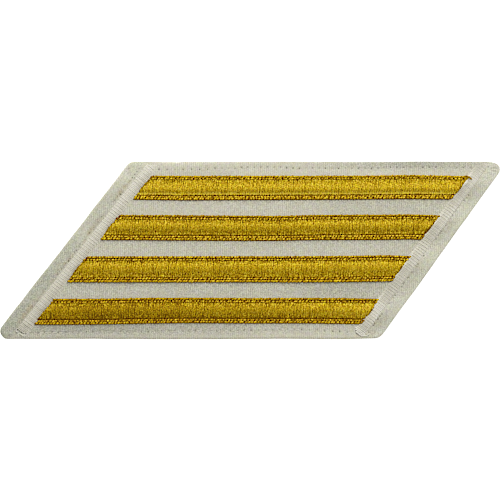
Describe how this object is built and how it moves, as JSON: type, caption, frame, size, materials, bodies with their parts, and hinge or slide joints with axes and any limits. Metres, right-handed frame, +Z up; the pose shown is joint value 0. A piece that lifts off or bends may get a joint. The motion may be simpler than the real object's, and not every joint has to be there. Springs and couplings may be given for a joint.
{
  "type": "service stripe",
  "caption": "Slanted off-white cloth patch with parallel raised gold embroidered stripes, a white satin-stitched band along each slanted end and a hem turned under all round.",
  "frame": {"origin": "under the middle of the patch, on the surface that it lies on", "axes": "+X along the stripes, +Y across them towards the first stripe, +Z up out of the embroidered face"},
  "size_m": [0.1924, 0.0688, 0.0035],
  "materials": {
    "white_cloth": "fine twill weave, matt, off-white",
    "white_thread": "white satin stitch, soft sheen",
    "gold_satin": "golden yellow satin stitch, silky sheen",
    "gold_cord": "golden yellow corded stitch, soft sheen"
  },
  "bodies": {
    "root": {"backing_cloth": "white_cloth", "left_end_band": "white_thread", "right_end_band": "white_thread", "stripe_1_satin": "gold_satin", "stripe_1_upper_cords": "gold_cord", "stripe_1_lower_cords": "gold_cord", "stripe_2_satin": "gold_satin", "stripe_2_upper_cords": "gold_cord", "stripe_2_lower_cords": "gold_cord", "stripe_3_satin": "gold_satin", "stripe_3_upper_cords": "gold_cord", "stripe_3_lower_cords": "gold_cord", "stripe_4_satin": "gold_satin", "stripe_4_upper_cords": "gold_cord", "stripe_4_lower_cords": "gold_cord"}
  },
  "joints": []
}
